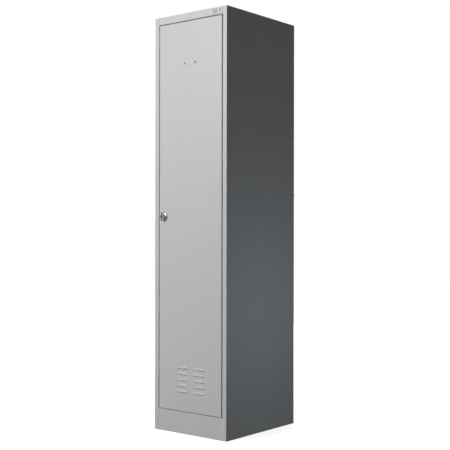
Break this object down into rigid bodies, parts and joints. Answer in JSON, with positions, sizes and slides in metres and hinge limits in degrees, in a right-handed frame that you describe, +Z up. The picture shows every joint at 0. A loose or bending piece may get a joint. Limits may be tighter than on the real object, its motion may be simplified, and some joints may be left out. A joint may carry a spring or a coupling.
{
  "type": "locker cabinet",
  "caption": "Tall single-door sheet-steel locker with louvred door, rotary latch, hat shelf, hanging rail and coat hooks.",
  "frame": {"origin": "on the floor, under the middle of the box that holds the cabinet with its knob and rear screws", "axes": "+Z up, +Y towards the back, so the door faces -Y; +X towards the hinge side, which is on the right as seen from the front"},
  "size_m": [0.415, 0.5224, 1.85],
  "materials": {
    "grey_paint": "light grey fine-texture powder coat",
    "chrome": "bright plated",
    "zinc_steel": "bright zinc plated",
    "white_nylon": "natural nylon",
    "black_nylon": "moulded black nylon",
    "black_rubber": "soft black rubber",
    "plate_plastic": "light grey plate, blank",
    "label_film": "blank printed film"
  },
  "bodies": {
    "carcass": {"back_panel": "grey_paint", "coat_hook_left": "zinc_steel", "coat_hook_right": "zinc_steel", "door_buffer_lower": "black_rubber", "door_buffer_middle": "black_rubber", "door_buffer_upper": "black_rubber", "floor_panel": "grey_paint", "hanging_rail": "chrome", "hat_shelf": "grey_paint", "header_label": "label_film", "header_rail": "grey_paint", "hinge_bracket_lower": "zinc_steel", "hinge_bracket_upper": "zinc_steel", "hinge_bush_lower": "white_nylon", "hinge_bush_upper": "white_nylon", "hook_rivet_left_lower": "zinc_steel", "hook_rivet_left_upper": "zinc_steel", "hook_rivet_right_lower": "zinc_steel", "hook_rivet_right_upper": "zinc_steel", "left_side_panel": "grey_paint", "plinth_panel": "grey_paint", "rail_bracket_left": "zinc_steel", "rail_bracket_right": "zinc_steel", "rail_cap_left": "white_nylon", "rail_cap_right": "white_nylon", "rear_screw_left": "zinc_steel", "rear_screw_right": "zinc_steel", "right_side_panel": "grey_paint", "roof_panel": "grey_paint", "shelf_angle_left": "grey_paint", "shelf_angle_right": "grey_paint"},
    "door": {"door_panel": "grey_paint", "door_stiffener": "grey_paint", "pivot_plate_upper": "zinc_steel", "pivot_plate_lower": "zinc_steel", "pivot_pin_upper": "zinc_steel", "pivot_pin_lower": "zinc_steel", "hinge_washer": "zinc_steel", "number_plate": "plate_plastic", "number_rivet_left": "black_nylon", "number_rivet_right": "black_nylon", "latch_housing": "chrome", "latch_nut": "zinc_steel"},
    "latch": {"latch_knob": "chrome", "latch_cam": "zinc_steel", "cam_washer": "zinc_steel", "cam_screw": "zinc_steel"},
    "key": {"key_plug": "chrome"}
  },
  "joints": [
    {"name": "door_swing", "type": "hinge", "parent": "carcass", "child": "door", "pos_m": [0.171, -0.2366, 0.956], "axis": [0, 0, 1], "range_deg": [0, 110]},
    {"name": "latch_turn", "type": "hinge", "parent": "door", "child": "latch", "pos_m": [-0.153, -0.2366, 0.956], "axis": [0, 1, 0], "range_deg": [0, 90]},
    {"name": "key_turn", "type": "hinge", "parent": "latch", "child": "key", "pos_m": [-0.153, -0.2366, 0.956], "axis": [0, 1, 0], "range_deg": [0, 90]}
  ]
}
